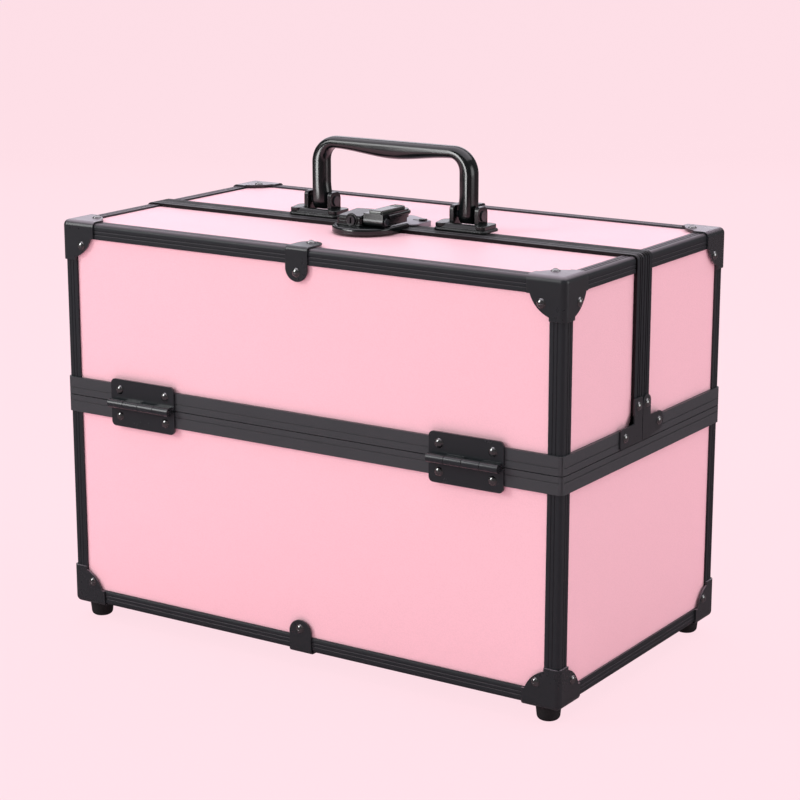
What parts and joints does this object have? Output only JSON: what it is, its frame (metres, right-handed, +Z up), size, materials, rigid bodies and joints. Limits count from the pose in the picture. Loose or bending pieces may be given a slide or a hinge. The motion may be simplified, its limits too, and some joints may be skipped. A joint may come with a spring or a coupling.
{
  "type": "makeup train case",
  "caption": "Hard make-up case with framed pink panels, front and rear lids hinged at mid height, a folding handle, a key latch and cantilever trays.",
  "frame": {"origin": "middle of the footprint, on the plane the feet stand on", "axes": "+X along the width, -Y towards the front, +Z up"},
  "size_m": [0.3676, 0.2166, 0.3125],
  "materials": {
    "panel": "satin, fine grain",
    "frame": "satin black anodised",
    "cap": "satin black",
    "rivet": "gloss black",
    "hinge": "satin black",
    "lining": "matt",
    "foot": "matt",
    "screw": "satin",
    "floor": "matt",
    "linkage": "satin",
    "tray": "satin",
    "latch": "gloss black",
    "strike": "satin grey",
    "handle": "gloss black"
  },
  "bodies": {
    "base": {"base_front_rear_panels": "panel", "base_end_panels": "panel", "base_floor_panel": "floor", "base_edge_rails": "frame", "base_rim": "frame", "base_corner_caps": "cap", "base_edge_clips": "cap", "base_lining": "lining", "base_rivets": "rivet", "base_hinge_leaves": "hinge", "hinge_pins": "hinge", "feet": "foot", "foot_screws": "screw", "arm_plates": "linkage", "arm_plate_pins": "linkage"},
    "front_lid": {"front_lid_panels": "panel", "front_lid_edge_rails": "frame", "front_lid_rim": "frame", "front_lid_seam_rim": "frame", "front_lid_corner_caps": "cap", "front_lid_edge_clip": "cap", "front_lid_seam_brackets": "cap", "front_lid_lining": "lining", "front_lid_rivets": "rivet", "front_lid_hinge_leaves": "hinge", "latch_plate": "latch", "lock_case": "latch", "lever_pin": "latch"},
    "key_barrel": {"key_barrel": "latch"},
    "latch_lever": {"latch_lever": "latch"},
    "rear_lid": {"rear_lid_panels": "panel", "rear_lid_edge_rails": "frame", "rear_lid_rim": "frame", "rear_lid_seam_rim": "frame", "rear_lid_corner_caps": "cap", "rear_lid_edge_clip": "cap", "rear_lid_seam_brackets": "cap", "rear_lid_lining": "lining", "rear_lid_rivets": "rivet", "rear_lid_hinge_leaves": "hinge", "latch_strike": "strike", "handle_brackets": "cap", "handle_pins": "hinge"},
    "handle": {"handle": "handle"},
    "front_outer_arms": {"front_outer_arms": "linkage"},
    "front_inner_arms": {"front_inner_arms": "linkage"},
    "front_lower_tray": {"front_lower_tray": "tray", "front_lower_tray_pins": "linkage"},
    "front_upper_tray": {"front_upper_tray": "tray", "front_upper_tray_pins": "linkage"},
    "rear_outer_arms": {"rear_outer_arms": "linkage"},
    "rear_inner_arms": {"rear_inner_arms": "linkage"},
    "rear_lower_tray": {"rear_lower_tray": "tray", "rear_lower_tray_pins": "linkage"},
    "rear_upper_tray": {"rear_upper_tray": "tray", "rear_upper_tray_pins": "linkage"}
  },
  "joints": [
    {"name": "front_lid_hinge", "type": "hinge", "parent": "base", "child": "front_lid", "pos_m": [0, -0.1055, 0.1495], "axis": [1, 0, 0], "range_deg": [0, 100]},
    {"name": "front_outer_arms_swing", "type": "hinge", "parent": "base", "child": "front_outer_arms", "pos_m": [0, -0.082, 0.151], "axis": [1, 0, 0], "range_deg": [0, 74]},
    {"name": "front_inner_arms_swing", "type": "hinge", "parent": "base", "child": "front_inner_arms", "pos_m": [0, -0.064, 0.151], "axis": [1, 0, 0], "range_deg": [0, 74]},
    {"name": "front_lower_tray_swing", "type": "hinge", "parent": "front_outer_arms", "child": "front_lower_tray", "pos_m": [0, -0.05961, 0.1842], "axis": [1, 0, 0], "range_deg": [-74, 0]},
    {"name": "front_upper_tray_swing", "type": "hinge", "parent": "front_outer_arms", "child": "front_upper_tray", "pos_m": [0, -0.03053, 0.2273], "axis": [1, 0, 0], "range_deg": [-74, 0]},
    {"name": "rear_lid_hinge", "type": "hinge", "parent": "base", "child": "rear_lid", "pos_m": [0, 0.1055, 0.1495], "axis": [-1, 0, 0], "range_deg": [0, 100]},
    {"name": "rear_outer_arms_swing", "type": "hinge", "parent": "base", "child": "rear_outer_arms", "pos_m": [0, 0.082, 0.151], "axis": [-1, 0, 0], "range_deg": [0, 74]},
    {"name": "rear_inner_arms_swing", "type": "hinge", "parent": "base", "child": "rear_inner_arms", "pos_m": [0, 0.064, 0.151], "axis": [-1, 0, 0], "range_deg": [0, 74]},
    {"name": "rear_lower_tray_swing", "type": "hinge", "parent": "rear_outer_arms", "child": "rear_lower_tray", "pos_m": [0, 0.05961, 0.1842], "axis": [-1, 0, 0], "range_deg": [-74, 0]},
    {"name": "rear_upper_tray_swing", "type": "hinge", "parent": "rear_outer_arms", "child": "rear_upper_tray", "pos_m": [0, 0.03053, 0.2273], "axis": [-1, 0, 0], "range_deg": [-74, 0]},
    {"name": "handle_fold", "type": "hinge", "parent": "rear_lid", "child": "handle", "pos_m": [-0.002, 0.00675, 0.271], "axis": [-1, 0, 0], "range_deg": [0, 88]},
    {"name": "lever_lift", "type": "hinge", "parent": "front_lid", "child": "latch_lever", "pos_m": [0.0104, -0.0323, 0.2685], "axis": [1, 0, 0], "range_deg": [0, 90]},
    {"name": "key_turn", "type": "hinge", "parent": "front_lid", "child": "key_barrel", "pos_m": [-0.00402, -0.0338, 0.2685], "axis": [0, -1, 0], "range_deg": [0, 90]}
  ],
  "couplings": [
    {"joint": "front_outer_arms_swing", "follows": "front_lid_hinge", "ratio": 0.74},
    {"joint": "front_inner_arms_swing", "follows": "front_lid_hinge", "ratio": 0.74},
    {"joint": "front_lower_tray_swing", "follows": "front_lid_hinge", "ratio": -0.74},
    {"joint": "front_upper_tray_swing", "follows": "front_lid_hinge", "ratio": -0.74},
    {"joint": "rear_outer_arms_swing", "follows": "rear_lid_hinge", "ratio": 0.74},
    {"joint": "rear_inner_arms_swing", "follows": "rear_lid_hinge", "ratio": 0.74},
    {"joint": "rear_lower_tray_swing", "follows": "rear_lid_hinge", "ratio": -0.74},
    {"joint": "rear_upper_tray_swing", "follows": "rear_lid_hinge", "ratio": -0.74}
  ]
}
